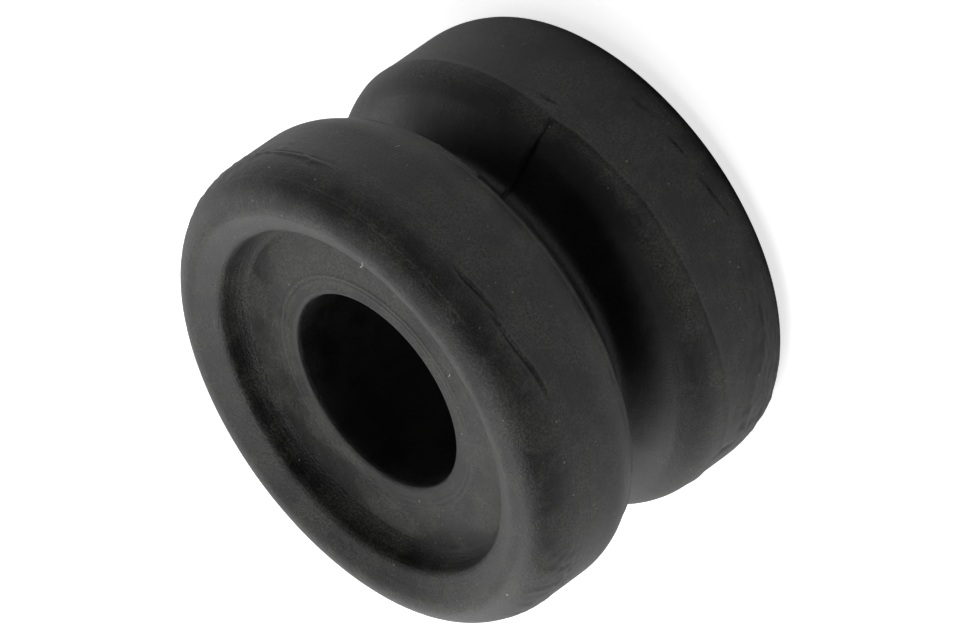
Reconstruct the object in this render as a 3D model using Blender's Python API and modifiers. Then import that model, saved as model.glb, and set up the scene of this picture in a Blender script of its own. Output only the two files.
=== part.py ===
"""A sway bar link bushing: one moulded rubber spool that stands on its end.

Two thick flanges are joined by a neck, with a V groove between them that holds the edge of the arm.
A bore runs right through for the link's sleeve and bolt. Each end has a rounded crown, which the cup
washer presses on, round a shallow recess. Units are metres, +Z is up, and the origin is the centre of
the lower end.
"""

import math

import bmesh
import bpy

# Whole bush
LENGTH = 0.0254
UPPER_FLANGE_RADIUS = 0.0180
LOWER_FLANGE_RADIUS = 0.01745
BORE_RADIUS = 0.0074
TURN_STEPS = 72

# Crown at each end: a narrow flat ring for the washer, rounded down to the rim
CROWN_FLAT_WIDTH = 0.0003
CROWN_OUTER_WIDTH = 0.0024
CROWN_OUTER_DROP = 0.0037

# Flank that slopes from the crown down to the crisp corner of the recess
FLANK_TOP_ROUND = 0.0010
FLANK_RUN = 0.00195
FLANK_ANGLE = math.radians(27.5)
RECESS_CORNER_ROUND = 0.0005

# Recess in each end: a steep wall, a soft foot and a nearly level floor
RECESS_WALL_ANGLE = math.radians(76.0)
RECESS_FOOT_ROUND = 0.0010
RECESS_DEPTH = 0.0027
MOUTH_DEPTH = 0.00245
MOUTH_ROUND = 0.0012

# Groove between the flanges
NECK_RADIUS = 0.0130
GROOVE_BOTTOM_RADIUS = 0.0008
GROOVE_WALL_ANGLE = math.radians(31.0)
FLANGE_INNER_ROUND = 0.00385

# Lip of flash where the split collar of the mould met the end plates
LIP_ANGLE = math.radians(48.0)
LIP_HALF_ANGLE = math.radians(2.6)
LIP_HEIGHT = 0.00012

# Step left on the groove by one half of the split collar, which stood a little out of line
STEP_HEIGHT = 0.00018
STEP_ROOT_DEPTH = 0.0009
STEP_EDGE_ANGLE = math.radians(20.0)

# Points along each rounded stretch
CROWN_POINTS = 6
ROUND_POINTS = 6
FOOT_POINTS = 4
CORNER_POINTS = 3
FLANK_POINTS = 2
MOUTH_POINTS = 4
BOTTOM_POINTS = 4
ROOT_POINTS = 2

RUBBER_COLOUR = (0.0105, 0.0103, 0.0100, 1.0)
RUBBER_ROUGHNESS = 0.55
SMOOTH_ANGLE = math.radians(24.0)
MERGE_DISTANCE = 0.000001

MIDDLE = LENGTH / 2.0
WALL_ANGLE_ON_ROUND = math.pi / 2.0 - GROOVE_WALL_ANGLE


def clear_scene():
    """Take every object out of the scene."""
    for item in list(bpy.data.objects):
        bpy.data.objects.remove(item, do_unlink=True)


def new_collection(name):
    """Add a collection to the scene."""
    group = bpy.data.collections.new(name)
    bpy.context.scene.collection.children.link(group)
    return group


def oval(centre_r, centre_z, half_r, half_z, start, end, count):
    """Points on an oval arc in the (radius, height) plane, both ends included."""
    points = []
    for step in range(count + 1):
        angle = start + (end - start) * step / max(count, 1)
        points.append((centre_r + half_r * math.cos(angle), centre_z + half_z * math.sin(angle)))
    return points


def groove_wall_height(radius):
    """Height of the groove's wall above the middle of the bush, at a radius."""
    wall_centre = NECK_RADIUS + GROOVE_BOTTOM_RADIUS
    apex = wall_centre - GROOVE_BOTTOM_RADIUS / math.sin(GROOVE_WALL_ANGLE)
    return (radius - apex) * math.tan(GROOVE_WALL_ANGLE)


def inner_round_centre(flange_radius):
    """Centre of the round that joins a flange's rim to the groove's wall, above the middle."""
    centre_r = flange_radius - FLANGE_INNER_ROUND
    centre_z = groove_wall_height(centre_r) + FLANGE_INNER_ROUND / math.cos(GROOVE_WALL_ANGLE)
    return centre_r, centre_z


def inner_arc(flange_radius, growth, start, end, count):
    """Points on a flange's inner round, or on one that stands off it by growth."""
    centre_r, centre_z = inner_round_centre(flange_radius)
    size = FLANGE_INNER_ROUND + growth
    return oval(centre_r, centre_z, size, size, -start, -end, count)


def inner_round(flange_radius):
    """The round from a flange's rim to the groove's wall, with the lip of flash on it."""
    before = LIP_ANGLE - LIP_HALF_ANGLE
    after = LIP_ANGLE + LIP_HALF_ANGLE
    points = inner_arc(flange_radius, 0.0, 0.0, before, ROUND_POINTS - 1)
    points += inner_arc(flange_radius, LIP_HEIGHT, LIP_ANGLE, LIP_ANGLE, 0)
    points += inner_arc(flange_radius, 0.0, after, WALL_ANGLE_ON_ROUND, 1)
    return points


def recess(edge_radius):
    """From the bore's mouth over the floor, up the wall to its corner, and up the flank to the crown."""
    flank_drop = (FLANK_TOP_ROUND * (1.0 - math.cos(FLANK_ANGLE))
                  + (FLANK_RUN - FLANK_TOP_ROUND * math.sin(FLANK_ANGLE)) * math.tan(FLANK_ANGLE))
    corner_r = edge_radius - FLANK_RUN + RECESS_CORNER_ROUND * math.sin(FLANK_ANGLE)
    corner_z = MIDDLE - flank_drop - RECESS_CORNER_ROUND * math.cos(FLANK_ANGLE)
    foot_z = MIDDLE - RECESS_DEPTH + RECESS_FOOT_ROUND
    wall_top_r = corner_r - RECESS_CORNER_ROUND * math.sin(RECESS_WALL_ANGLE)
    wall_top_z = corner_z + RECESS_CORNER_ROUND * math.cos(RECESS_WALL_ANGLE)
    wall_foot_z = foot_z - RECESS_FOOT_ROUND * math.cos(RECESS_WALL_ANGLE)
    wall_foot_r = wall_top_r - (wall_top_z - wall_foot_z) / math.tan(RECESS_WALL_ANGLE)
    foot_r = wall_foot_r - RECESS_FOOT_ROUND * math.sin(RECESS_WALL_ANGLE)
    points = oval(BORE_RADIUS + MOUTH_ROUND, MIDDLE - MOUTH_DEPTH - MOUTH_ROUND, MOUTH_ROUND, MOUTH_ROUND,
                  math.pi, math.pi / 2.0, MOUTH_POINTS)
    points += oval(foot_r, foot_z, RECESS_FOOT_ROUND, RECESS_FOOT_ROUND,
                   -math.pi / 2.0, RECESS_WALL_ANGLE - math.pi / 2.0, FOOT_POINTS)
    points += oval(corner_r, corner_z, RECESS_CORNER_ROUND, RECESS_CORNER_ROUND,
                   math.pi / 2.0 + RECESS_WALL_ANGLE, math.pi / 2.0 + FLANK_ANGLE, CORNER_POINTS)
    points += oval(edge_radius, MIDDLE - FLANK_TOP_ROUND, FLANK_TOP_ROUND, FLANK_TOP_ROUND,
                   math.pi / 2.0 + FLANK_ANGLE, math.pi / 2.0, FLANK_POINTS)
    return points


def end_and_rim(flange_radius):
    """Upper half of the outline, in heights above the middle: from the bore out to the groove's wall."""
    crown_radius = flange_radius - CROWN_OUTER_WIDTH
    points = recess(crown_radius - CROWN_FLAT_WIDTH)
    points += oval(crown_radius, MIDDLE - CROWN_OUTER_DROP, CROWN_OUTER_WIDTH, CROWN_OUTER_DROP,
                   math.pi / 2.0, 0.0, CROWN_POINTS)
    points += inner_round(flange_radius)
    return points


def groove_bottom(growth=0.0):
    """The rounded bottom of the groove, from its upper wall to its lower wall, about the middle."""
    centre_r = NECK_RADIUS + GROOVE_BOTTOM_RADIUS
    size = GROOVE_BOTTOM_RADIUS - growth
    return oval(centre_r, 0.0, size, size, math.pi - WALL_ANGLE_ON_ROUND, math.pi + WALL_ANGLE_ON_ROUND,
                BOTTOM_POINTS)


def below(points):
    """Points mirrored through the middle, in the order that keeps the outline running down."""
    return [(r, -z) for r, z in reversed(points)]


def bush_outline():
    """The closed outline of the bush, running down its outer side."""
    outline = end_and_rim(UPPER_FLANGE_RADIUS) + groove_bottom() + below(end_and_rim(LOWER_FLANGE_RADIUS))
    return [(r, z + MIDDLE) for r, z in outline]


def half_collar_outline():
    """Closed outline of the skin that one collar half left on the groove: proud outside, rooted inside."""
    def collar_arc(flange_radius, growth, count):
        return inner_arc(flange_radius, growth, STEP_EDGE_ANGLE, WALL_ANGLE_ON_ROUND, count)

    proud = collar_arc(UPPER_FLANGE_RADIUS, STEP_HEIGHT, ROUND_POINTS)
    proud += groove_bottom(STEP_HEIGHT)
    proud += below(collar_arc(LOWER_FLANGE_RADIUS, STEP_HEIGHT, ROUND_POINTS))
    root = collar_arc(UPPER_FLANGE_RADIUS, -STEP_ROOT_DEPTH, ROOT_POINTS)
    root.append((NECK_RADIUS - STEP_ROOT_DEPTH, 0.0))
    root += below(collar_arc(LOWER_FLANGE_RADIUS, -STEP_ROOT_DEPTH, ROOT_POINTS))
    return [(r, z + MIDDLE) for r, z in proud + root[::-1]]


def turned(name, outline, group):
    """A closed outline on the +X side, turned once round the Z axis by a Screw modifier."""
    mesh = bpy.data.meshes.new(name)
    shape = bmesh.new()
    corners = [shape.verts.new((r, 0.0, z)) for r, z in outline]
    for index, corner in enumerate(corners):
        shape.edges.new((corner, corners[(index + 1) % len(corners)]))
    shape.to_mesh(mesh)
    shape.free()
    item = bpy.data.objects.new(name, mesh)
    group.objects.link(item)
    screw = item.modifiers.new("Turn", "SCREW")
    screw.axis = "Z"
    screw.angle = math.tau
    screw.steps = TURN_STEPS
    screw.render_steps = TURN_STEPS
    screw.use_merge_vertices = True
    screw.merge_threshold = MERGE_DISTANCE
    return item


def set_as_guide(item):
    """Show a helper solid as wire only."""
    item.hide_render = True
    item.display_type = "WIRE"


def far_half(group):
    """A block over the half of the turn that the straight collar half shaped."""
    size = 4.0 * UPPER_FLANGE_RADIUS
    mesh = bpy.data.meshes.new("far_half")
    shape = bmesh.new()
    bmesh.ops.create_cube(shape, size=size)
    bmesh.ops.translate(shape, verts=shape.verts, vec=(0.0, -size / 2.0, MIDDLE))
    shape.to_mesh(mesh)
    shape.free()
    item = bpy.data.objects.new("far_half", mesh)
    group.objects.link(item)
    set_as_guide(item)
    return item


def add_boolean(item, operation, other, name):
    """Cut or join another solid with an exact Boolean."""
    step = item.modifiers.new(name, "BOOLEAN")
    step.operation = operation
    step.solver = "EXACT"
    step.object = other


def rubber():
    """Black moulded rubber."""
    material = bpy.data.materials.new("rubber")
    material.use_nodes = True
    shader = material.node_tree.nodes["Principled BSDF"]
    shader.inputs["Base Color"].default_value = RUBBER_COLOUR
    shader.inputs["Roughness"].default_value = RUBBER_ROUGHNESS
    shader.inputs["Metallic"].default_value = 0.0
    material.diffuse_color = RUBBER_COLOUR
    return material


def link_bushing(group, guides):
    """The bush: one turned solid, with the skin of the half collar joined to it."""
    skin = turned("half_collar_skin", half_collar_outline(), guides)
    add_boolean(skin, "DIFFERENCE", far_half(guides), "Keep one half")
    set_as_guide(skin)
    bush = turned("link_bushing", bush_outline(), group)
    add_boolean(bush, "UNION", skin, "Join collar step")
    bush.data.materials.append(rubber())
    bush.data.shade_smooth()
    bush.data.set_sharp_from_angle(angle=SMOOTH_ANGLE)
    return bush


def main():
    """Build the bush."""
    clear_scene()
    parts = new_collection("sway_bar_link_bushing")
    guides = new_collection("guides")
    link_bushing(parts, guides)
    bpy.context.view_layer.update()


main()
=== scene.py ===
"""Looks of a sway bar link bushing: a black rubber spool, moulded in a split collar between two end plates.

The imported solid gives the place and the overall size. The body is turned again here at the fineness of
the real surface, the marks that the mould left are pressed into it, and it gets its rubber, its dust and
its lint. Units are metres, +Z is up, and angles run round the axis from the seam of the split collar.
"""

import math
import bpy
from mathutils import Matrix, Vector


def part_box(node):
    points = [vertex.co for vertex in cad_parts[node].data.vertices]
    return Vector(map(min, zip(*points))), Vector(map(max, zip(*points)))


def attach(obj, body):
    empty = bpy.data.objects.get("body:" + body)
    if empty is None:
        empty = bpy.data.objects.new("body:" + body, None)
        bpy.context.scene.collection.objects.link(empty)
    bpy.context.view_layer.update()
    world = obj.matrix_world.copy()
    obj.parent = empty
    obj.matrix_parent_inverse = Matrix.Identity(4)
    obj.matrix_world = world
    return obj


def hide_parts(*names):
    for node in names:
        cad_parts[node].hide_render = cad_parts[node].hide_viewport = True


bl_info = {
    "name": "Link bushing looks",
    "version": (1, 0, 0),
    "blender": (4, 5, 0),
    "location": "3D View > Sidebar > Bushing",
    "description": "Builds the rubber link bushing, its mould marks, its lint and a plain white stage",
    "category": "Object",
}

import bmesh
import bpy
import numpy as np
from mathutils import Matrix, Vector, noise

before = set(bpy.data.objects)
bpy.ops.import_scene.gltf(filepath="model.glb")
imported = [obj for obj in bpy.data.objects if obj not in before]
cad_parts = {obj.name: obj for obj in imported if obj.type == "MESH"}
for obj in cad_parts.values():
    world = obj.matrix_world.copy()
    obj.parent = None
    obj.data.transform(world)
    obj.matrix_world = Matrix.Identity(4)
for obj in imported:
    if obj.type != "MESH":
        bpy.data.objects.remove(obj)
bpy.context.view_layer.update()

NODE = "link_bushing"
BODY = "root"
LOW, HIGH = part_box(NODE)

MM = 0.001
TURN = math.tau

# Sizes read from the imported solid
LENGTH = HIGH.z - LOW.z
UPPER_RADIUS = HIGH.x
MIDDLE = LENGTH / 2.0

# Sizes of the outline. The flanges, crowns and groove are the solid's own; the recess's wall and foot and
# the bore's mouth are drawn closer to the real ones than its few faces can
LOWER_RADIUS = 17.45 * MM
BORE_RADIUS = 7.4 * MM
CROWN_FLAT = 0.3 * MM
CROWN_OUTER_WIDTH = 2.4 * MM
CROWN_OUTER_DROP = 3.7 * MM
FLANK_TOP = 1.0 * MM
FLANK_RUN = 1.7 * MM
FLANK_ANGLE = math.radians(27.5)
RECESS_CORNER = 0.8 * MM
WALL_TOP_ANGLE = math.radians(75.0)
WALL_FOOT_ANGLE = math.radians(46.0)
RECESS_DEPTH = 2.7 * MM
MOUTH_DEPTH = 2.45 * MM
MOUTH_ROUND = 0.5 * MM
NECK_RADIUS = 13.0 * MM
GROOVE_BOTTOM = 0.8 * MM
GROOVE_ANGLE = math.radians(31.0)
INNER_ROUND = 3.85 * MM
WALL_TURN = math.pi / 2.0 - GROOVE_ANGLE
# The recess's foot lies outside the first radius, and points this near to it count as on it
FOOT_BEYOND = BORE_RADIUS + 2.0 * MM
FOOT_REACH = 0.1 * MM

# Spacing of the outline's rows: on the open surface, in the bore, and over the bands that carry fine marks
OPEN_ROW = 0.28 * MM
BORE_ROW = 1.6 * MM
FINE_ROW = 0.075 * MM
FINE_BANDS = ((1.0, 2.0), (2.4, 3.4), (7.3, 8.6), (15.2, 16.2), (21.6, 22.9), (23.9, 24.5))
BAND_RADIUS = 15.5 * MM
RING_BAND = (7.5 * MM, 9.4 * MM)
FINEST_STEP = 0.5 * FINE_ROW
MOST_FACES = 98000
# How strongly the columns draw together at a seam, and over what angle
SEAM_PULL = 0.8
SEAM_REACH = math.radians(4.0)
WELD = 0.001 * MM
WAVE_SEED = 3.0

# Marks of the mould. A place on a rim is (degrees round, millimetres up). Other lengths are in millimetres
RIM_RADIUS = 17.7
RIM_STARTS = 15.5
RIM_MM_PER_DEGREE = 0.31
# The collar's seams: the front one's path as (millimetres out, degrees round), their ends, and how they fade
# out beyond and before those. The edge is (height, place beside the seam, width), and a crease is (share of
# the depth, place beside the seam, width)
SEAM_PATH = ((12.0, -0.3), (14.4, -0.4), (15.9, -0.2), (17.0, 0.8), (17.5, 1.8))
SEAM_FOOT = 8.25
SEAM_TOP = 15.75
SEAM_FADE = (0.2, 0.15)
STEP_EDGE = 0.05
RAISED_EDGE = (0.05, 0.3, 0.16)
FRONT_CREASE = (1.0, -0.06, 0.085)
BACK_CREASE = (0.6, 0.05, 0.08)
# Ridges at the partings. The ridge has a (height, width) for its broad and its narrow part, a lip has its
# (level, share of the height), and its foot is (share of the height, place below the lip, width)
PARTING_RIDGE = ((-180, 7.9), (-100, 6.6), (-90, 6.75), (-74, 7.1), (-60, 7.45), (-36, 7.66), (-25, 7.7),
                 (-18, 7.94), (-5, 8.2), (0, 8.42), (4, 8.13), (12, 8.2), (60, 8.0), (180, 7.9))
PARTING_HEIGHTS = ((0.055, 0.22), (0.03, 0.07))
FLASH_LIPS = ((15.93, 1.0), (15.45, 0.3), (10.35, 0.45))
FLASH_WANDER = 0.05
LIP_WIDTH = 0.085
LIP_FOOT = (0.5, 0.17, 0.08)
# Rings round the bore's mouths as (radius, height), on the end faces down to a depth
MOUTH_RINGS = ((9.02, 0.05), (8.62, 0.03))
RING_WIDTH = 0.11
RING_FACE_DEPTH = 3.5
# Lines on the rims. A ridge or crease straight on a path is (height or depth, width), and one beside it is
# (height or depth, how far below the path, width)
TRIM_LINE = ((56, 21.75), (46, 21.95), (38, 22.1), (31, 22.15), (24, 22.2))
TRIM_RIDGE = (0.09, 0.16)
TRIM_GROOVE = (0.07, 0.24, 0.09)
PLATE_CREASES = (
    ((-15.3, 22.61), (-17.6, 22.62), (-22.3, 22.45), (-27.1, 22.34)),
    ((-28.5, 22.67), (-32.7, 22.59), (-37.7, 22.44), (-43.2, 22.11), (-49.3, 22.03)),
)
CREASE_DEPTH = (0.15, 0.1)
CREASE_RIDGE = (0.06, 0.26, 0.15)
BAND_LINE = ((52, 24.25), (30, 24.2), (10, 24.17), (-7, 24.2), (-24, 24.15))
BAND_RIDGE = (0.045, 0.12)
SCORES = (
    ((-6.1, 3.02), (-8.6, 3.03), (-10.9, 2.84), (-14.9, 2.5)),
    ((-18.1, 3.16), (-19.7, 3.01), (-24.5, 2.96)),
    ((-28.4, 3.08), (-31.5, 2.94), (-34.4, 2.88), (-37.5, 2.66), (-39.3, 2.56), (-41.1, 2.64)),
    ((-11.1, 1.66), (-15.6, 1.87)),
    ((-2.8, 1.3), (-4.4, 1.48)),
    ((-21.4, 1.42), (-24.0, 1.1)),
    ((26.0, 4.3), (27.5, 4.0)),
    ((7.4, 7.72), (2.9, 7.43)),
    ((152.0, 3.1), (141.0, 2.9)),
    ((118.0, 2.7), (109.0, 3.0)),
    ((-132.0, 22.1), (-143.0, 22.3)),
)
SCORE_WIDTH = 0.075
# Pits, each a little shallower than the one before. Their lip is (height, distance from the middle, width)
PITS = ((-55.2, 1.77), (-71.0, 2.71), (-53.6, 2.9), (-59.2, 2.93), (32.5, 21.6), (42.3, 21.0),
        (29.0, 22.7), (-84.0, 1.5), (133.0, 21.9), (-150.0, 2.2))
DEEPEST_PIT = 0.13
PIT_STEP = 0.008
PIT_WIDTH = 0.17
PIT_LIP = (0.05, 0.3, 0.1)
# Single spots: the place, the scale round (millimetres for a degree) and up, the lift and the width
RIM_SPOTS = {
    "nub where seam and lip meet": (12.8, 15.75, RIM_MM_PER_DEGREE, 1.0, 0.24, 0.2),
    "dent": (-5.2, 21.4, RIM_MM_PER_DEGREE, 1.0, -0.07, 0.75),
    "notch in the lower corner": (-101.7, 5.95, RIM_MM_PER_DEGREE, 0.5, -0.22, 0.34),
    "hollow patch": (-87.0, 6.0, 0.16, 1.0, -0.06, 0.5),
}
# A swelling and a tongue of rubber, the tongue's edge as (degrees round, millimetres out), each with its
# (height, width of its edge)
SWOLLEN_LINE = ((-66, 2.7), (-75, 3.3), (-81, 4.1), (-88, 4.5), (-97, 4.6))
SWOLLEN_LIFT = (0.07, 0.35)
TONGUE = ((-54, 15.5), (-60, 14.5), (-64.8, 14.4), (-69.7, 15.05), (-71.9, 16.0), (-72.6, 16.8))
TONGUE_LIFT = (0.035, 0.12)
# Ragged stretches: the lift, the size, stretch and seed of the noise, and the spans over which it fades in
# and out, first round and then up
RAGGED = (
    (0.12, 0.42, 2.4, 3.0, (-122, -95), (-36, -62), (0.8, 1.6), (6.4, 4.2)),
    (0.09, 0.5, 1.2, 7.0, (38, 52), (90, 74), (20.6, 21.6), (24.7, 23.8)),
    (0.10, 0.45, 1.4, 11.0, (-128, -112), (-82, -94), (20.6, 21.6), (24.7, 23.8)),
)

# Lint: where each fibre lies (degrees round, millimetres out, millimetres up), the face it lies on, its
# heading from level in that face, and its length in millimetres
FIBRES = (
    (3.6, 14.62, 25.33, "end", 78.0, 0.62),
    (-104.8, 16.0, 25.2, "end", 28.0, 1.5),
    (17.5, 18.0, 20.23, "rim", 20.0, 0.5),
    (14.4, 18.0, 20.9, "rim", -50.0, 0.3),
    (17.2, 18.0, 18.1, "rim", 60.0, 0.45),
    (-38.0, 9.6, 22.92, "end", 120.0, 0.35),
    (95.0, 17.45, 4.0, "rim", 15.0, 0.5),
    (-160.0, 18.0, 19.0, "rim", -35.0, 0.6),
)
FIBRE_SUNK = 0.05 * MM
FIBRE_CURL = 0.3

# The rubber's patterns, in millimetres
GRAIN_SIZE = 0.16
COARSE_SIZE = 1.3
FLOW_SIZE = 0.4
FLOW_TURN_RADIUS = 1.1
HAZE_SIZE = 3.6
SPECK_SPACING = 0.52
STRAND_SIZE = 0.12
BUMP_HEIGHT = 0.075
# Where dust settles: it thickens over the first radii, over the second heights from the middle, and over
# the last distances from the bore's wall. Its thinning towards the groove and the bore is painted shade
DUST_AND_SHADE_RADII = (16.2, 17.3)
DUST_AND_SHADE_HEIGHTS = (6.0, 9.5)
DUST_AND_SHADE_FROM_BORE = (0.1, 0.9)
CLEAN_ROUGHNESS = 0.36
BLOOM_ROUGHNESS = 0.46
GRAIN_ROUGHNESS = 0.16
DULL_ROUGHNESS = 0.9
RUBBER_IOR = 1.5

# Stage
CAMERA_AZIMUTH = math.radians(-26.50)
CAMERA_ELEVATION = math.radians(30.26)
CAMERA_ROLL = math.radians(-125.54)
CAMERA_DISTANCE = 547.5 * MM
CAMERA_AIM = Vector((-0.19, -0.07, 12.94)) * MM
CAMERA_LENS = 303.2
SENSOR_WIDTH = 36.0
LAMP_DISTANCE = 0.8
LAMP_SIZE = 0.5
FLOOR_HALF = 4.0
FLOOR_GAP = 0.02 * MM
PAPER_WHITE = "#e6e6e6"
PAPER_SEEN = 0.75
PAPER_MIRRORED = 0.12
ROOM_LIGHT = 0.01
LAMPS = (
    ("left_low_strip", 128.0, 10.0, 0.75),
    ("middle_low_strip", 156.0, 10.0, 1.00),
    ("back_low_strip", 184.0, 10.0, 1.40),
    ("far_low_strip", 212.0, 10.0, 0.40),
    ("left_bank", 116.0, 30.0, 0.90),
    ("back_bank", 195.0, 45.0, 1.60),
    ("side_fill", 60.0, 55.0, 0.35),
    ("high_back_bank", 236.0, 65.0, 2.40),
    ("top_bank", 0.0, 90.0, 1.30),
)


def linear(code):
    """An sRGB hex colour as linear red, green, blue and alpha."""
    channels = [int(code[i:i + 2], 16) / 255.0 for i in (1, 3, 5)]
    return tuple(c / 12.92 if c <= 0.04045 else ((c + 0.055) / 1.055) ** 2.4 for c in channels) + (1.0,)


def add_node(tree, kind, settings=None, **values):
    """Add a node: settings go on the node, values and links go to its inputs by name or number."""
    node = tree.nodes.new(kind)
    for name, value in (settings or {}).items():
        setattr(node, name, value)
    for name, value in values.items():
        socket = node.inputs[int(name[1:])] if name[0] == "i" and name[1:].isdigit() else node.inputs[
            name.replace("_", " ")]
        if isinstance(value, bpy.types.NodeSocket):
            tree.links.new(value, socket)
        else:
            socket.default_value = value
    return node


# Outline of the bush, from the bore out and round

def oval(centre, halves, start, end, count=60):
    """Points along an oval arc in (radius, height), without its last point."""
    angles = [start + (end - start) * step / count for step in range(count)]
    return [(centre[0] + halves[0] * math.cos(a), centre[1] + halves[1] * math.sin(a)) for a in angles]


def groove_wall(radius):
    """Height of the groove's wall above the middle, at a radius."""
    apex = NECK_RADIUS + GROOVE_BOTTOM - GROOVE_BOTTOM / math.sin(GROOVE_ANGLE)
    return (radius - apex) * math.tan(GROOVE_ANGLE)


def inner_round_centre(flange):
    """Centre of the round between a flange's rim and the groove's wall, above the middle."""
    centre_r = flange - INNER_ROUND
    return centre_r, groove_wall(centre_r) + INNER_ROUND / math.cos(GROOVE_ANGLE)


def half_outline(flange):
    """Upper half of the outline in heights above the middle, from the bore to the groove's bottom."""
    crown = flange - CROWN_OUTER_WIDTH
    edge_r = crown - CROWN_FLAT
    flank_drop = (FLANK_TOP * (1.0 - math.cos(FLANK_ANGLE))
                  + (FLANK_RUN - FLANK_TOP * math.sin(FLANK_ANGLE)) * math.tan(FLANK_ANGLE))
    corner = (edge_r - FLANK_RUN + RECESS_CORNER * math.sin(FLANK_ANGLE),
              MIDDLE - flank_drop - RECESS_CORNER * math.cos(FLANK_ANGLE))
    wall_top = (corner[0] - RECESS_CORNER * math.sin(WALL_TOP_ANGLE),
                corner[1] + RECESS_CORNER * math.cos(WALL_TOP_ANGLE))
    wall_round = ((wall_top[1] - MIDDLE + RECESS_DEPTH)
                  / (math.cos(WALL_FOOT_ANGLE) - math.cos(WALL_TOP_ANGLE)))
    wall = (wall_top[0] - wall_round * math.sin(WALL_TOP_ANGLE),
            wall_top[1] + wall_round * math.cos(WALL_TOP_ANGLE))
    mouth = (BORE_RADIUS + MOUTH_ROUND, MIDDLE - MOUTH_DEPTH - MOUTH_ROUND)
    quarter = math.pi / 2.0
    points = oval(mouth, (MOUTH_ROUND, MOUTH_ROUND), math.pi, quarter)
    points.append((mouth[0], MIDDLE - MOUTH_DEPTH))
    points += oval(wall, (wall_round, wall_round), WALL_FOOT_ANGLE - quarter, WALL_TOP_ANGLE - quarter)
    points += oval(corner, (RECESS_CORNER, RECESS_CORNER), quarter + WALL_TOP_ANGLE, quarter + FLANK_ANGLE)
    points += oval((edge_r, MIDDLE - FLANK_TOP), (FLANK_TOP, FLANK_TOP), quarter + FLANK_ANGLE, quarter)
    points.append((edge_r, MIDDLE))
    points += oval((crown, MIDDLE - CROWN_OUTER_DROP), (CROWN_OUTER_WIDTH, CROWN_OUTER_DROP), quarter, 0.0)
    points.append((flange, MIDDLE - CROWN_OUTER_DROP))
    points += oval(inner_round_centre(flange), (INNER_ROUND, INNER_ROUND), 0.0, -WALL_TURN)
    return points


def outline():
    """The closed outline, running down its outer side and up the bore, with its base at zero height."""
    upper = half_outline(UPPER_RADIUS)
    bottom = oval((NECK_RADIUS + GROOVE_BOTTOM, 0.0), (GROOVE_BOTTOM, GROOVE_BOTTOM),
                  math.pi - WALL_TURN, math.pi + WALL_TURN)
    lower = [(r, -z) for r, z in reversed(half_outline(LOWER_RADIUS))]
    return [(r, z + MIDDLE) for r, z in upper + bottom + lower]


def foot_radius(flange):
    """Where the recess's wall meets its floor."""
    level = MIDDLE - RECESS_DEPTH
    return min(r for r, z in half_outline(flange) if r > FOOT_BEYOND and abs(z - level) < WELD)


def is_foot(radius, height, within=WELD):
    """Whether places on the outline lie at the foot of either recess's wall."""
    flange = np.where(height > MIDDLE, foot_radius(UPPER_RADIUS), foot_radius(LOWER_RADIUS))
    return np.hypot(radius - flange, np.abs(height - MIDDLE) - MIDDLE + RECESS_DEPTH) < within


def row_spacing(radius, height):
    """How far apart the rows are at a place on the outline."""
    if radius < BORE_RADIUS + 0.02 * MM:
        return BORE_ROW
    if RING_BAND[0] < radius < RING_BAND[1]:
        return FINE_ROW
    in_band = any(low * MM <= height <= high * MM for low, high in FINE_BANDS)
    return FINE_ROW if in_band and radius > BAND_RADIUS else OPEN_ROW


def spaced_rows(points):
    """The outline again as (radius, height), with rows close together over the marks and one on each foot."""
    corners = np.array(points + points[:1])
    pieces = []
    for start, end in zip(corners[:-1], corners[1:]):
        count = max(1, math.ceil(math.dist(start, end) / FINEST_STEP))
        pieces += [start + (end - start) * k / count for k in range(count)]
    fine = np.array(pieces + [corners[0]])
    runs = np.hypot(*np.diff(fine, axis=0).T)
    middles = (fine[:-1] + fine[1:]) / 2.0
    steps = [run / row_spacing(*spot) for run, spot in zip(runs, middles)]
    density = np.concatenate([[0.0], np.cumsum(steps)])
    count = round(density[-1])
    marks = np.arange(count) * density[-1] / count
    for foot in np.flatnonzero(is_foot(fine[:, 0], fine[:, 1])):
        marks[np.argmin(np.abs(marks - density[foot]))] = density[foot]
    return [(np.interp(m, density, fine[:, 0]), np.interp(m, density, fine[:, 1])) for m in marks]


def stations(count):
    """Angles round the turn, drawn closer together at the two seams of the split collar."""
    angles = []
    for k in range(count):
        angle = TURN * k / count
        for seam in (0.0, math.pi, TURN):
            gap = (angle - seam) / SEAM_REACH
            angle -= SEAM_PULL * SEAM_REACH * gap * math.exp(-0.5 * gap * gap)
        angles.append(angle)
    return angles


# Geometry Nodes trees

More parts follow.
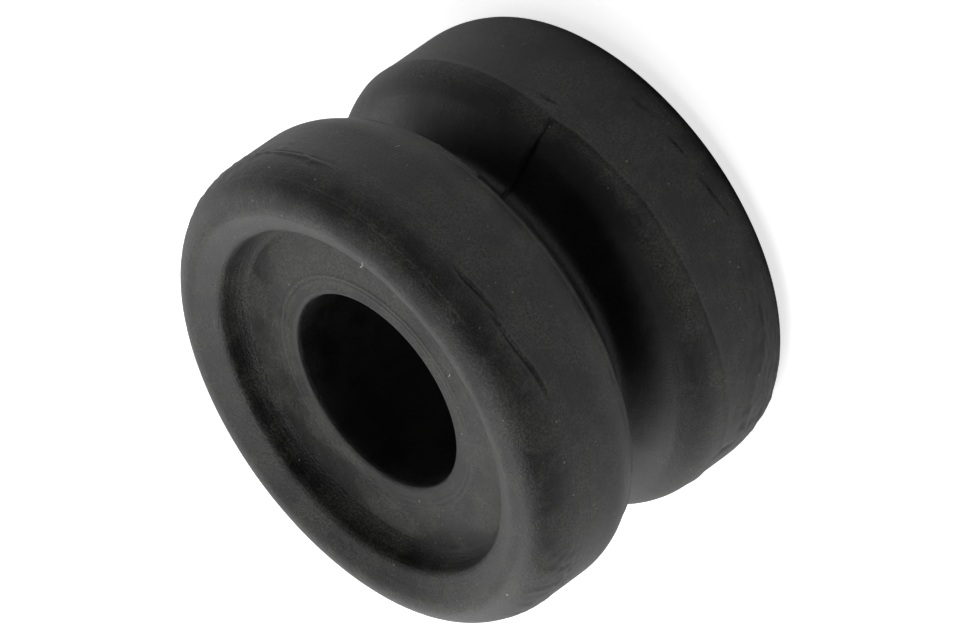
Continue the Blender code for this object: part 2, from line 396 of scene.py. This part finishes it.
def turning_tree():
    """Turn the outline's points round Z at the stations' angles, with the slight wave of a moulding."""
    tree = bpy.data.node_groups.new("Turn moulded bush", "GeometryNodeTree")
    face = tree.interface
    face.new_socket("Geometry", in_out="OUTPUT", socket_type="NodeSocketGeometry")
    face.new_socket("Outline", in_out="INPUT", socket_type="NodeSocketGeometry")
    face.new_socket("Stations", in_out="INPUT", socket_type="NodeSocketObject")
    for name in ("Wave height", "Wave size", "Seed"):
        face.new_socket(name, in_out="INPUT", socket_type="NodeSocketFloat")
    face.new_socket("Material", in_out="INPUT", socket_type="NodeSocketMaterial")
    inlet = tree.nodes.new("NodeGroupInput").outputs

    def math_node(operation, first, second=0.0):
        return add_node(tree, "ShaderNodeMath", {"operation": operation}, i0=first, i1=second).outputs[0]

    def attribute(name):
        return add_node(tree, "GeometryNodeInputNamedAttribute", {"data_type": "FLOAT"}, Name=name).outputs[0]

    def sample(source, value, index, kind):
        return add_node(tree, "GeometryNodeSampleIndex", {"data_type": kind}, Geometry=source,
                        Value=value, Index=index).outputs[0]

    # A flat grid gives the faces: its columns become stations and its rows the outline's points
    rows = add_node(tree, "GeometryNodeAttributeDomainSize", Geometry=inlet["Outline"]).outputs["Point Count"]
    ring = add_node(tree, "GeometryNodeObjectInfo", Object=inlet["Stations"]).outputs["Geometry"]
    columns = add_node(tree, "GeometryNodeAttributeDomainSize", Geometry=ring).outputs["Point Count"]
    stride = math_node("ADD", rows, 1.0)
    grid = add_node(tree, "GeometryNodeMeshGrid", Vertices_X=math_node("ADD", columns, 1.0),
                    Vertices_Y=stride).outputs["Mesh"]
    index = add_node(tree, "GeometryNodeInputIndex").outputs[0]
    column = math_node("FLOOR", math_node("DIVIDE", math_node("ADD", index, 0.5), stride))
    passed = math_node("MULTIPLY", column, stride)
    row_index = math_node("MODULO", math_node("SUBTRACT", index, passed), rows)
    column_index = math_node("MODULO", column, columns)
    place = add_node(tree, "GeometryNodeInputPosition").outputs[0]
    on_outline = sample(inlet["Outline"], place, row_index, "FLOAT_VECTOR")
    angle = sample(ring, attribute("turn"), column_index, "FLOAT")
    spot = add_node(tree, "ShaderNodeSeparateXYZ", Vector=on_outline).outputs
    at = add_node(tree, "ShaderNodeCombineXYZ",
                  X=math_node("MULTIPLY", spot["X"], math_node("COSINE", angle)),
                  Y=math_node("MULTIPLY", spot["X"], math_node("SINE", angle)), Z=spot["Z"]).outputs[0]
    shape = add_node(tree, "GeometryNodeSetPosition", Geometry=grid, Position=at).outputs[0]
    shape = add_node(tree, "GeometryNodeMergeByDistance", Geometry=shape, Distance=WELD).outputs[0]
    shape = add_node(tree, "GeometryNodeFlipFaces", Mesh=shape).outputs[0]

    wave = add_node(tree, "ShaderNodeTexNoise", {"noise_dimensions": "4D"}, Vector=place, W=inlet["Seed"],
                    Scale=math_node("DIVIDE", 1.0, inlet["Wave size"]), Detail=2.0).outputs[0]
    sunk = math_node("MULTIPLY", math_node("SUBTRACT", wave, 1.0), inlet["Wave height"])
    normal = add_node(tree, "GeometryNodeInputNormal").outputs[0]
    move = add_node(tree, "ShaderNodeVectorMath", {"operation": "SCALE"}, i0=normal, Scale=sunk).outputs[0]
    shape = add_node(tree, "GeometryNodeSetPosition", Geometry=shape, Offset=move).outputs[0]
    shape = add_node(tree, "GeometryNodeSetShadeSmooth", Geometry=shape).outputs[0]
    shape = add_node(tree, "GeometryNodeRealizeInstances", Geometry=shape).outputs[0]
    shape = add_node(tree, "GeometryNodeSetMaterial", Geometry=shape, Material=inlet["Material"]).outputs[0]
    tree.links.new(shape, tree.nodes.new("NodeGroupOutput").inputs["Geometry"])
    return tree


def fibre_tree():
    """Lay a short curled fibre on each point, turned and sized by the point's own numbers."""
    tree = bpy.data.node_groups.new("Lay lint fibres", "GeometryNodeTree")
    face = tree.interface
    face.new_socket("Geometry", in_out="OUTPUT", socket_type="NodeSocketGeometry")
    face.new_socket("Points", in_out="INPUT", socket_type="NodeSocketGeometry")
    for name in ("Thickness", "Curl"):
        face.new_socket(name, in_out="INPUT", socket_type="NodeSocketFloat")
    face.new_socket("Material", in_out="INPUT", socket_type="NodeSocketMaterial")
    inlet = tree.nodes.new("NodeGroupInput").outputs

    def attribute(name, kind):
        return add_node(tree, "GeometryNodeInputNamedAttribute", {"data_type": kind}, Name=name).outputs[0]

    middle = add_node(tree, "ShaderNodeCombineXYZ", Y=inlet["Curl"]).outputs[0]
    fibre = add_node(tree, "GeometryNodeCurveQuadraticBezier", Resolution=8, Start=(-0.5, 0.0, 0.0),
                     Middle=middle, End=(0.5, 0.0, 0.0)).outputs[0]
    ring = add_node(tree, "GeometryNodeCurvePrimitiveCircle", Resolution=6,
                    Radius=inlet["Thickness"]).outputs["Curve"]
    rod = add_node(tree, "GeometryNodeCurveToMesh", Curve=fibre, Profile_Curve=ring,
                   Fill_Caps=True).outputs[0]
    laid = add_node(tree, "GeometryNodeInstanceOnPoints", Points=inlet["Points"], Instance=rod,
                    Rotation=attribute("tilt", "FLOAT_VECTOR"), Scale=attribute("reach", "FLOAT")).outputs[0]
    shape = add_node(tree, "GeometryNodeRealizeInstances", Geometry=laid).outputs[0]
    shape = add_node(tree, "GeometryNodeSetShadeSmooth", Geometry=shape).outputs[0]
    shape = add_node(tree, "GeometryNodeSetMaterial", Geometry=shape, Material=inlet["Material"]).outputs[0]
    tree.links.new(shape, tree.nodes.new("NodeGroupOutput").inputs["Geometry"])
    return tree


def guide(name, points, numbers, edges=()):
    """An object of loose points that carries named numbers for a node tree to read."""
    mesh = bpy.data.meshes.new(name)
    mesh.from_pydata(points, edges, [])
    for title, values in numbers.items():
        flat = np.asarray(values, float)
        if flat.ndim == 1:
            mesh.attributes.new(title, "FLOAT", "POINT").data.foreach_set("value", flat)
        else:
            mesh.attributes.new(title, "FLOAT_VECTOR", "POINT").data.foreach_set("vector", flat.ravel())
    item = bpy.data.objects.new(name, mesh)
    bpy.context.scene.collection.objects.link(item)
    return item


def apply_tree(source, tree, values, name):
    """Run a tree on an object, keep its result as a plain mesh object and drop the source."""
    step = source.modifiers.new("Build", "NODES")
    step.node_group = tree
    ids = {s.name: s.identifier for s in tree.interface.items_tree if s.in_out == "INPUT"}
    for title, value in values.items():
        step[ids[title]] = value
    bpy.context.view_layer.update()
    graph = bpy.context.evaluated_depsgraph_get()
    mesh = bpy.data.meshes.new_from_object(source.evaluated_get(graph), depsgraph=graph)
    item = bpy.data.objects.new(name, mesh)
    bpy.context.scene.collection.objects.link(item)
    bpy.data.objects.remove(source, do_unlink=True)
    return item


# Marks that the mould left

class Skin:
    """The body's points as (degrees round, millimetres up, millimetres out), and how far each is lifted."""

    def __init__(self, mesh):
        self.mesh = mesh
        count = len(mesh.vertices)
        self.spots = np.empty(count * 3)
        mesh.vertices.foreach_get("co", self.spots)
        self.spots = self.spots.reshape(-1, 3)
        self.normals = np.empty(count * 3)
        mesh.vertices.foreach_get("normal", self.normals)
        self.normals = self.normals.reshape(-1, 3)
        self.turn = np.degrees(np.arctan2(self.spots[:, 1], self.spots[:, 0]))
        self.up = self.spots[:, 2] / MM
        self.out = np.hypot(self.spots[:, 0], self.spots[:, 1]) / MM
        self.rim = self.out > RIM_STARTS
        self.lift = np.zeros(count)

    def settle(self):
        """Move every point along its normal by its lift."""
        self.spots += self.normals * (self.lift * MM)[:, None]
        self.mesh.vertices.foreach_set("co", self.spots.ravel())
        self.mesh.update()


def bell(distance, width):
    """One at no distance, falling smoothly to nothing over a width."""
    return np.exp(-(np.asarray(distance) / width) ** 2)


def ramp(value, start, end):
    """From nothing at start to one at end, with soft ends."""
    share = np.clip((np.asarray(value) - start) / (end - start), 0.0, 1.0)
    return share * share * (3.0 - 2.0 * share)


def path_gap(skin, path):
    """Distance in millimetres from a path over the rim, and how far along the path its nearest point is."""
    scale = math.radians(1.0) * RIM_RADIUS
    far_away = 1e3
    spot = np.stack([skin.turn * scale, skin.up], axis=1)
    corners = np.array(path, float) * (scale, 1.0)
    nearest = np.full(len(spot), far_away)
    share = np.zeros(len(spot))
    for number, (start, end) in enumerate(zip(corners[:-1], corners[1:])):
        run = end - start
        along = np.clip((spot - start) @ run / (run @ run), 0.0, 1.0)
        gap = np.hypot(*(spot - start - along[:, None] * run).T)
        closer = gap < nearest
        nearest = np.where(closer, gap, nearest)
        share = np.where(closer, (number + along) / (len(corners) - 1), share)
    return nearest, share


def roughness_noise(skin, where, size, stretch=1.0, seed=0.0):
    """Smooth noise from -1 to 1 at the points picked by where, stretched round the turn."""
    values = np.zeros(len(skin.up))
    for k in np.flatnonzero(where):
        angle = math.radians(skin.turn[k])
        reach = RIM_RADIUS / (size * stretch)
        values[k] = noise.noise(Vector((math.cos(angle) * reach, math.sin(angle) * reach + seed,
                                        (skin.up[k] + skin.out[k]) / size)))
    return values


def press_collar_seams(skin, sizes):
    """The collar half on the +Y side stood proud, and the joint left a crease down the groove's walls."""
    path_out, path_turn = zip(*SEAM_PATH)
    at_seam = np.interp(skin.out, path_out, path_turn)
    before, after = SEAM_FADE
    within = (ramp(skin.up, SEAM_FOOT - before, SEAM_FOOT + after)
              * ramp(skin.up, SEAM_TOP + before, SEAM_TOP - after)
              * (skin.out > NECK_RADIUS / MM - 0.3))
    degrees_per_mm = np.degrees(1.0 / np.maximum(skin.out, 1.0))
    from_front = (skin.turn - at_seam) / degrees_per_mm
    from_back = (180.0 - np.abs(skin.turn)) * np.sign(skin.turn) / degrees_per_mm
    proud = (ramp(from_front, -STEP_EDGE, STEP_EDGE) * ramp(from_back, -STEP_EDGE, STEP_EDGE)
             * (skin.turn > -90))
    height, beside, width = RAISED_EDGE
    raised = height * bell(from_front - beside, width)
    skin.lift += within * (proud * sizes.step_height / MM + raised)
    depth = sizes.seam_depth / MM * (0.75 + 0.25 * np.sin(skin.up * 5.0))
    for gap, (share, place, width) in ((from_front, FRONT_CREASE), (from_back, BACK_CREASE)):
        skin.lift -= within * depth * share * bell(gap - place, width)


def press_flash(skin, sizes):
    """Thin lips where the collar closed on the end plates, and the ridge at the lower flange's parting."""
    height = sizes.flash_height / MM
    wander = roughness_noise(skin, (skin.up > 9.0) & (skin.up < 17.0) & skin.rim, 2.2)
    sunk, below, width = LIP_FOOT
    for level, share in FLASH_LIPS:
        lip = bell(skin.up - level - FLASH_WANDER * wander, LIP_WIDTH)
        skin.lift += skin.rim * height * share * (0.75 + 0.5 * wander) * lip
        skin.lift -= skin.rim * height * share * sunk * bell(skin.up - level + below, width)
    gap = path_gap(skin, PARTING_RIDGE)[0]
    for rise, width in PARTING_HEIGHTS:
        skin.lift += skin.rim * rise * bell(gap, width)


def press_mouth_rings(skin):
    """Faint rings round the bore's mouths, from the turning of the mould's core plates."""
    end_face = np.abs(skin.up - MIDDLE / MM) > MIDDLE / MM - RING_FACE_DEPTH
    for radius, rise in MOUTH_RINGS:
        skin.lift += end_face * rise * bell(skin.out - radius, RING_WIDTH)


def press_rim_lines(skin, sizes):
    """The trim line, the creases, the band's edge and the short scores on the two rims."""
    gap, share = path_gap(skin, TRIM_LINE)
    fade = np.sin(np.pi * np.clip(share, 0.04, 0.96)) ** 0.6
    turns, ups = zip(*reversed(TRIM_LINE))
    above = np.interp(skin.turn, turns, ups)
    rise, width = TRIM_RIDGE
    depth, below, narrow = TRIM_GROOVE
    skin.lift += skin.rim * fade * (rise * bell(gap, width)
                                    - depth * bell(skin.up - above + below, narrow) * (gap < 0.6))
    depth, width = CREASE_DEPTH
    rise, below, wide = CREASE_RIDGE
    for path in PLATE_CREASES:
        gap, share = path_gap(skin, path)
        beside = path_gap(skin, [(turn, up - below) for turn, up in path])[0]
        fade = np.sin(np.pi * np.clip(share, 0.03, 0.97)) ** 0.5
        skin.lift += skin.rim * fade * (rise * bell(beside, wide) - depth * bell(gap, width))
    rise, width = BAND_RIDGE
    skin.lift += skin.rim * rise * bell(path_gap(skin, BAND_LINE)[0], width)
    for path in SCORES:
        gap, share = path_gap(skin, path)
        swell = 0.35 + 0.65 * np.sin(np.pi * share)
        skin.lift -= skin.rim * sizes.score_depth / MM * swell * bell(gap, SCORE_WIDTH)


def press_rim_spots(skin):
    """Pits with a slight lip, and single dents and swellings."""
    rise, beside, narrow = PIT_LIP
    for number, (turn, up) in enumerate(PITS):
        reach = np.hypot((skin.turn - turn) * RIM_MM_PER_DEGREE, (skin.up - up) * 0.8)
        skin.lift -= skin.rim * (DEEPEST_PIT - PIT_STEP * number) * bell(reach, PIT_WIDTH)
        skin.lift += skin.rim * rise * bell(reach - beside, narrow)
    for turn, up, across, upward, lift, width in RIM_SPOTS.values():
        reach = np.hypot((skin.turn - turn) * across, (skin.up - up) * upward)
        skin.lift += skin.rim * lift * bell(reach, width)
    rise, width = SWOLLEN_LIFT
    skin.lift += skin.rim * rise * bell(path_gap(skin, SWOLLEN_LINE)[0], width)


def press_groove_tongue(skin):
    """A shallow tongue on the lower wall of the groove, where the rubber flowed in last."""
    wall = (skin.up > 9.2) & (skin.up < MIDDLE / MM) & (skin.out > 13.6)
    turns, outs = zip(*reversed(TONGUE))
    edge = np.interp(skin.turn, turns, outs, left=30.0, right=30.0)
    rise, width = TONGUE_LIFT
    skin.lift += wall * rise * ramp(skin.out - edge, -width, width)


def crease_recess_foot(skin):
    """Keep the foot of the recess's wall crisp, so that wall and floor aren't shaded into one another."""
    at_foot = is_foot(skin.out * MM, skin.up * MM, FOOT_REACH)
    ends = np.empty(len(skin.mesh.edges) * 2, dtype=np.int32)
    skin.mesh.edges.foreach_get("vertices", ends)
    sharp = at_foot[ends.reshape(-1, 2)].all(axis=1)
    marks = skin.mesh.attributes
    mark = marks.get("sharp_edge") or marks.new("sharp_edge", "BOOLEAN", "EDGE")
    mark.data.foreach_set("value", sharp)


def roughen_limbs(skin):
    """Ragged stretches: flow marks near the lower flange's corner, and an uneven edge on the upper rim."""
    for lift, size, stretch, seed, turn_in, turn_out, up_in, up_out in RAGGED:
        share = (ramp(skin.turn, *turn_in) * ramp(skin.turn, *turn_out)
                 * ramp(skin.up, *up_in) * ramp(skin.up, *up_out))
        streaks = roughness_noise(skin, skin.rim & (share > 0.0), size, stretch, seed)
        skin.lift += lift * share * streaks


# Materials

def rubber_material(finish):
    """Carbon-filled natural rubber, compression moulded: near black and matt, so it shows mostly its gloss.

    The mould's ground steel leaves a fine grain, the rubber's flow leaves faint lines round the turn, and
    a grey bloom and dust lie on it in patches.
    """
    material = bpy.data.materials.new("moulded_black_rubber")
    material.use_nodes = True
    tree = material.node_tree
    shader = tree.nodes["Principled BSDF"]
    place = add_node(tree, "ShaderNodeTexCoord").outputs["Object"]

    def math_node(operation, first, second=0.0):
        return add_node(tree, "ShaderNodeMath", {"operation": operation}, i0=first, i1=second).outputs[0]

    def pattern(vector, size_mm, detail, rough=0.5):
        return add_node(tree, "ShaderNodeTexNoise", Vector=vector, Scale=1.0 / (size_mm * MM), Detail=detail,
                        Roughness=rough).outputs[0]

    def between(value, start, end, low=0.0, high=1.0):
        return add_node(tree, "ShaderNodeMapRange", {"interpolation_type": "SMOOTHSTEP"}, Value=value,
                        From_Min=start, From_Max=end, To_Min=low, To_Max=high).outputs[0]

    # Grain with a finer one inside it, both drawn a little coarser than the real grit so that they show
    grain = pattern(place, GRAIN_SIZE, 3.0, 0.7)
    coarse = pattern(place, COARSE_SIZE, 2.0)
    # Flow lines: noise whose places round the turn are drawn out 16 times
    spot = add_node(tree, "ShaderNodeSeparateXYZ", Vector=place).outputs
    flat = add_node(tree, "ShaderNodeCombineXYZ", X=spot["X"], Y=spot["Y"]).outputs[0]
    radius = add_node(tree, "ShaderNodeVectorMath", {"operation": "LENGTH"}, i0=flat).outputs["Value"]
    heading = add_node(tree, "ShaderNodeVectorMath", {"operation": "NORMALIZE"}, i0=flat).outputs[0]
    drawn = add_node(tree, "ShaderNodeVectorMath", {"operation": "SCALE"}, i0=heading,
                     Scale=FLOW_TURN_RADIUS * MM).outputs[0]
    level = math_node("ADD", spot["Z"], radius)
    lift = add_node(tree, "ShaderNodeCombineXYZ", Z=level).outputs[0]
    flow_at = add_node(tree, "ShaderNodeVectorMath", {"operation": "ADD"}, i0=drawn, i1=lift).outputs[0]
    flow = pattern(flow_at, FLOW_SIZE, 2.0)

    # Bloom: grey haze in patches
    haze = pattern(place, HAZE_SIZE, 5.0, 0.6)
    cloud = between(haze, 0.4, 0.62)
    base = add_node(tree, "ShaderNodeMix", {"data_type": "RGBA"}, Factor=cloud, i6=linear(finish.rubber),
                    i7=linear(finish.bloom)).outputs[2]
    # Dust: a thin film that settles in the grain, and specks of up to 0.2 mm across, the largest of them
    # rare. It is faded out in the groove and the bore as painted shade, which leaves them darker
    from_middle = math_node("ABSOLUTE", math_node("SUBTRACT", spot["Z"], MIDDLE))
    outside = math_node("MAXIMUM", between(radius, *(r * MM for r in DUST_AND_SHADE_RADII)),
                        between(from_middle, *(h * MM for h in DUST_AND_SHADE_HEIGHTS)))
    unshaded_face = math_node("MULTIPLY", outside,
                          between(radius, *(BORE_RADIUS + r * MM for r in DUST_AND_SHADE_FROM_BORE)))
    film = math_node("MULTIPLY", between(grain, 0.38, 0.64), between(haze, 0.36, 0.62, 0.03, 0.15))
    cells = add_node(tree, "ShaderNodeTexVoronoi", Vector=place, Scale=1.0 / (SPECK_SPACING * MM),
                     Randomness=1.0)
    chance = add_node(tree, "ShaderNodeSeparateColor", Color=cells.outputs["Color"]).outputs
    speck_size = math_node("MULTIPLY", math_node("POWER", chance["Red"], 2.4), 0.19)
    speck = between(math_node("SUBTRACT", speck_size, cells.outputs["Distance"]), 0.0, 0.05)
    shown = math_node("MULTIPLY", speck, between(chance["Green"], 0.1, 1.1, 0.06, 0.6))
    # Painted shade: the pale dust falls to 0.12 of itself in the groove and the bore
    dust_and_shade = math_node("MULTIPLY", math_node("MAXIMUM", film, shown),
                        between(unshaded_face, 0.0, 1.0, 0.12, 1.0))
    colour = add_node(tree, "ShaderNodeMix", {"data_type": "RGBA"}, Factor=dust_and_shade, i6=base,
                      i7=linear(finish.dust)).outputs[2]
    tree.links.new(colour, shader.inputs["Base Color"])

    # Bloom dulls the gloss, and so do the peaks of the grain
    rough = math_node("ADD", between(haze, 0.3, 0.7, CLEAN_ROUGHNESS, BLOOM_ROUGHNESS),
                      math_node("MULTIPLY", grain, GRAIN_ROUGHNESS))
    tree.links.new(rough, shader.inputs["Roughness"])
    shader.inputs["IOR"].default_value = RUBBER_IOR

    height = math_node("ADD", math_node("MULTIPLY", grain, 0.7), math_node("MULTIPLY", coarse, 0.6))
    height = math_node("ADD", height, math_node("MULTIPLY", flow, 0.45))
    height = math_node("ADD", height, math_node("MULTIPLY", shown, 0.8))
    bump = add_node(tree, "ShaderNodeBump", Strength=finish.grain_strength, Distance=BUMP_HEIGHT * MM,
                    Height=height)
    tree.links.new(bump.outputs[0], shader.inputs["Normal"])
    return material


def lint_material(finish):
    """Cotton lint, off-white and fibrous: soft, dull, and paler than anything else on the rubber."""
    material = bpy.data.materials.new("cotton_lint")
    material.use_nodes = True
    tree = material.node_tree
    shader = tree.nodes["Principled BSDF"]
    place = add_node(tree, "ShaderNodeTexCoord").outputs["Object"]
    # The strands are drawn coarser than the real ones, which are too fine to show
    strand = add_node(tree, "ShaderNodeTexNoise", Vector=place, Scale=1.0 / (STRAND_SIZE * MM),
                      Detail=2.0).outputs[0]
    tone = add_node(tree, "ShaderNodeMix", {"data_type": "RGBA"}, Factor=strand, i6=linear(finish.lint),
                    i7=linear(finish.dust)).outputs[2]
    tree.links.new(tone, shader.inputs["Base Color"])
    shader.inputs["Roughness"].default_value = DULL_ROUGHNESS
    return material


def white_surface(name, glow, mirrored):
    """Matt paper that the camera sees as white, that gloss shows a little of, and that keeps the shadow."""
    material = bpy.data.materials.new(name)
    material.use_nodes = True
    tree = material.node_tree
    shader = tree.nodes["Principled BSDF"]
    shader.inputs["Base Color"].default_value = linear(PAPER_WHITE)
    shader.inputs["Roughness"].default_value = DULL_ROUGHNESS
    rays = add_node(tree, "ShaderNodeLightPath").outputs
    shader.inputs["Emission Color"].default_value = linear("#ffffff")
    seen = add_node(tree, "ShaderNodeMath", {"operation": "MULTIPLY"}, i0=rays["Is Camera Ray"],
                    i1=glow).outputs[0]
    # Painted shadow: the glow that gloss sees fades out under the bush, where the paper lies in its shade
    place = add_node(tree, "ShaderNodeTexCoord").outputs["Object"]
    away = add_node(tree, "ShaderNodeVectorMath", {"operation": "LENGTH"}, i0=place).outputs["Value"]
    glow_past_painted_shadow = add_node(tree, "ShaderNodeMapRange", Value=away, From_Min=UPPER_RADIUS - 1.0 * MM,
                          From_Max=UPPER_RADIUS + 2.0 * MM, To_Min=0.0, To_Max=mirrored).outputs[0]
    strength = add_node(tree, "ShaderNodeMath", {"operation": "MULTIPLY_ADD"}, i0=rays["Is Glossy Ray"],
                        i1=glow_past_painted_shadow, i2=seen).outputs[0]
    tree.links.new(strength, shader.inputs["Emission Strength"])
    return material


# Settings that a user would change

class BushingSizes(bpy.types.PropertyGroup):
    """Sizes of the turned body and its mould marks."""
    step_height: bpy.props.FloatProperty(
        name="Collar step", description="How far one collar half stands proud",
        default=0.18 * MM, unit="LENGTH")
    seam_depth: bpy.props.FloatProperty(
        name="Seam depth", description="Depth of the crease at the collar's seams",
        default=0.32 * MM, unit="LENGTH")
    flash_height: bpy.props.FloatProperty(
        name="Flash height", description="Height of the thin lips on the inner rounds",
        default=0.14 * MM, unit="LENGTH")
    score_depth: bpy.props.FloatProperty(
        name="Score depth", description="Depth of the short scores on the rims",
        default=0.17 * MM, unit="LENGTH")
    wave_height: bpy.props.FloatProperty(
        name="Wave height", description="Depth of the slight unevenness of the moulding",
        default=0.05 * MM, unit="LENGTH")
    wave_size: bpy.props.FloatProperty(
        name="Wave size", description="Length of that unevenness", default=9.0 * MM, unit="LENGTH")
    fibre_thickness: bpy.props.FloatProperty(
        name="Lint thickness", description="Half thickness of a fibre as a share of its length",
        default=0.06, subtype="FACTOR")


class BushingFinish(bpy.types.PropertyGroup):
    """Colours and surface finish."""
    rubber: bpy.props.StringProperty(
        name="Rubber", description="sRGB hex of the rubber", default="#121211")
    bloom: bpy.props.StringProperty(
        name="Bloom", description="sRGB hex where the bloom is thickest", default="#232322")
    dust: bpy.props.StringProperty(name="Dust", description="sRGB hex of the dust", default="#a3a29c")
    lint: bpy.props.StringProperty(name="Lint", description="sRGB hex of the lint", default="#f2f1ec")
    grain_strength: bpy.props.FloatProperty(
        name="Grain", description="Strength of the moulded grain", default=1.0, min=0.0, max=1.0)


class BUSHING_OT_body(bpy.types.Operator):
    """Turn the rubber body and press the mould's marks into it"""
    bl_idname = "bushing.body"
    bl_label = "Rubber body"

    def execute(self, context):
        sizes = context.scene.bushing_sizes
        rows = spaced_rows(outline())
        chain = guide("outline", [(r, 0.0, z) for r, z in rows], {},
                      [(k, k + 1) for k in range(len(rows) - 1)])
        angles = stations(MOST_FACES // len(rows))
        ring = guide("stations", [(math.cos(a) * MM, math.sin(a) * MM, 0.0) for a in angles],
                     {"turn": angles})
        body = apply_tree(chain, turning_tree(), {
            "Stations": ring,
            "Wave height": sizes.wave_height,
            "Wave size": sizes.wave_size,
            "Seed": WAVE_SEED,
            "Material": rubber_material(context.scene.bushing_finish),
        }, "rubber_body")
        bpy.data.objects.remove(ring, do_unlink=True)
        skin = Skin(body.data)
        press_collar_seams(skin, sizes)
        press_flash(skin, sizes)
        press_mouth_rings(skin)
        press_rim_lines(skin, sizes)
        press_rim_spots(skin)
        press_groove_tongue(skin)
        roughen_limbs(skin)
        skin.settle()
        crease_recess_foot(skin)
        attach(body, BODY)
        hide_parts(NODE)
        return {"FINISHED"}


class BUSHING_OT_lint(bpy.types.Operator):
    """Lay the few lint fibres that cling to the rubber"""
    bl_idname = "bushing.lint"
    bl_label = "Lint fibres"

    def execute(self, context):
        sizes = context.scene.bushing_sizes
        points, tilts, reaches = [], [], []
        for turn, out, up, face, heading, length in FIBRES:
            angle = math.radians(turn)
            outward = Vector((math.cos(angle), math.sin(angle), 0.0))
            facing = Vector((0.0, 0.0, 1.0)) if face == "end" else outward
            level = Vector((-math.sin(angle), math.cos(angle), 0.0))
            across = facing.cross(level)
            run = level * math.cos(math.radians(heading)) + across * math.sin(math.radians(heading))
            lie = Matrix((run, facing.cross(run), facing)).transposed()
            points.append(outward * (out * MM) + Vector((0.0, 0.0, up * MM)) - facing * FIBRE_SUNK)
            tilts.append(tuple(lie.to_euler()))
            reaches.append(length * MM)
        spots = guide("lint_spots", points, {"tilt": tilts, "reach": reaches})
        lint = apply_tree(spots, fibre_tree(), {
            "Thickness": sizes.fibre_thickness,
            "Curl": FIBRE_CURL,
            "Material": lint_material(context.scene.bushing_finish),
        }, "lint_fibres")
        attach(lint, BODY)
        return {"FINISHED"}


def direction(azimuth, elevation):
    """The way from the bush to a place that far round and up."""
    return Vector((math.cos(elevation) * math.cos(azimuth), math.cos(elevation) * math.sin(azimuth),
                   math.sin(elevation)))


def area_lamp(name, azimuth, elevation, power):
    """A square soft box that faces the bush."""
    light = bpy.data.lights.new(name, "AREA")
    light.shape = "SQUARE"
    light.size = LAMP_SIZE
    light.energy = power
    lamp = bpy.data.objects.new(name, light)
    away = direction(azimuth, elevation)
    lamp.location = away * LAMP_DISTANCE + Vector((0.0, 0.0, MIDDLE))
    lamp.rotation_euler = away.to_track_quat("Z", "Y").to_euler()
    bpy.context.scene.collection.objects.link(lamp)


def studio_camera():
    """A long lens that looks down on the bush, rolled as the photograph is."""
    camera = bpy.data.cameras.new("camera")
    camera.sensor_fit = "HORIZONTAL"
    camera.sensor_width = SENSOR_WIDTH
    camera.lens = CAMERA_LENS
    camera.clip_start = 0.01
    camera.clip_end = 20.0
    item = bpy.data.objects.new("camera", camera)
    back = direction(CAMERA_AZIMUTH, CAMERA_ELEVATION)
    level_right = Vector((-math.sin(CAMERA_AZIMUTH), math.cos(CAMERA_AZIMUTH), 0.0))
    level_up = back.cross(level_right)
    right = level_right * math.cos(CAMERA_ROLL) + level_up * math.sin(CAMERA_ROLL)
    up = level_up * math.cos(CAMERA_ROLL) - level_right * math.sin(CAMERA_ROLL)
    turn = Matrix((right, up, back)).transposed().to_4x4()
    item.matrix_world = Matrix.Translation(CAMERA_AIM + back * CAMERA_DISTANCE) @ turn
    bpy.context.scene.collection.objects.link(item)
    bpy.context.scene.camera = item


class BUSHING_OT_stage(bpy.types.Operator):
    """Set out the white floor, the lamps, the surroundings and the camera"""
    bl_idname = "bushing.stage"
    bl_label = "Stage"

    def execute(self, context):
        mesh = bpy.data.meshes.new("floor")
        shape = bmesh.new()
        bmesh.ops.create_grid(shape, x_segments=1, y_segments=1, size=FLOOR_HALF)
        shape.to_mesh(mesh)
        shape.free()
        mesh.transform(Matrix.Translation((0.0, 0.0, -FLOOR_GAP)))
        mesh.materials.append(white_surface("white_paper", PAPER_SEEN, PAPER_MIRRORED))
        floor = bpy.data.objects.new("floor", mesh)
        context.scene.collection.objects.link(floor)
        for name, azimuth, elevation, power in LAMPS:
            area_lamp(name, math.radians(azimuth), math.radians(elevation), power)
        world = bpy.data.worlds.new("white_room")
        context.scene.world = world
        world.use_nodes = True
        tree = world.node_tree
        light = tree.nodes["Background"]
        seen = add_node(tree, "ShaderNodeLightPath").outputs["Is Camera Ray"]
        level = add_node(tree, "ShaderNodeMapRange", Value=seen, To_Min=ROOM_LIGHT,
                         To_Max=1.0).outputs[0]
        light.inputs["Color"].default_value = linear("#ffffff")
        tree.links.new(level, light.inputs["Strength"])
        context.scene.view_settings.view_transform = "Standard"
        studio_camera()
        return {"FINISHED"}


class BUSHING_PT_panel(bpy.types.Panel):
    """Lists the bushing's settings and builders"""
    bl_label = "Link bushing"
    bl_idname = "BUSHING_PT_panel"
    bl_space_type = "VIEW_3D"
    bl_region_type = "UI"
    bl_category = "Bushing"

    def draw(self, context):
        for settings in (context.scene.bushing_sizes, context.scene.bushing_finish):
            for name in settings.__annotations__:
                self.layout.prop(settings, name)
        for builder in BUILDERS:
            self.layout.operator(builder.bl_idname)


BUILDERS = (BUSHING_OT_body, BUSHING_OT_lint, BUSHING_OT_stage)
CLASSES = (BushingSizes, BushingFinish) + BUILDERS + (BUSHING_PT_panel,)


def register():
    """Add the classes and the scene's settings."""
    for item in CLASSES:
        bpy.utils.register_class(item)
    bpy.types.Scene.bushing_sizes = bpy.props.PointerProperty(type=BushingSizes)
    bpy.types.Scene.bushing_finish = bpy.props.PointerProperty(type=BushingFinish)


def unregister():
    """Take them away again."""
    del bpy.types.Scene.bushing_finish
    del bpy.types.Scene.bushing_sizes
    for item in reversed(CLASSES):
        bpy.utils.unregister_class(item)


def main():
    """Build every piece and the stage."""
    register()
    bpy.ops.bushing.body()
    bpy.ops.bushing.lint()
    bpy.ops.bushing.stage()


if __name__ == "__main__":
    main()
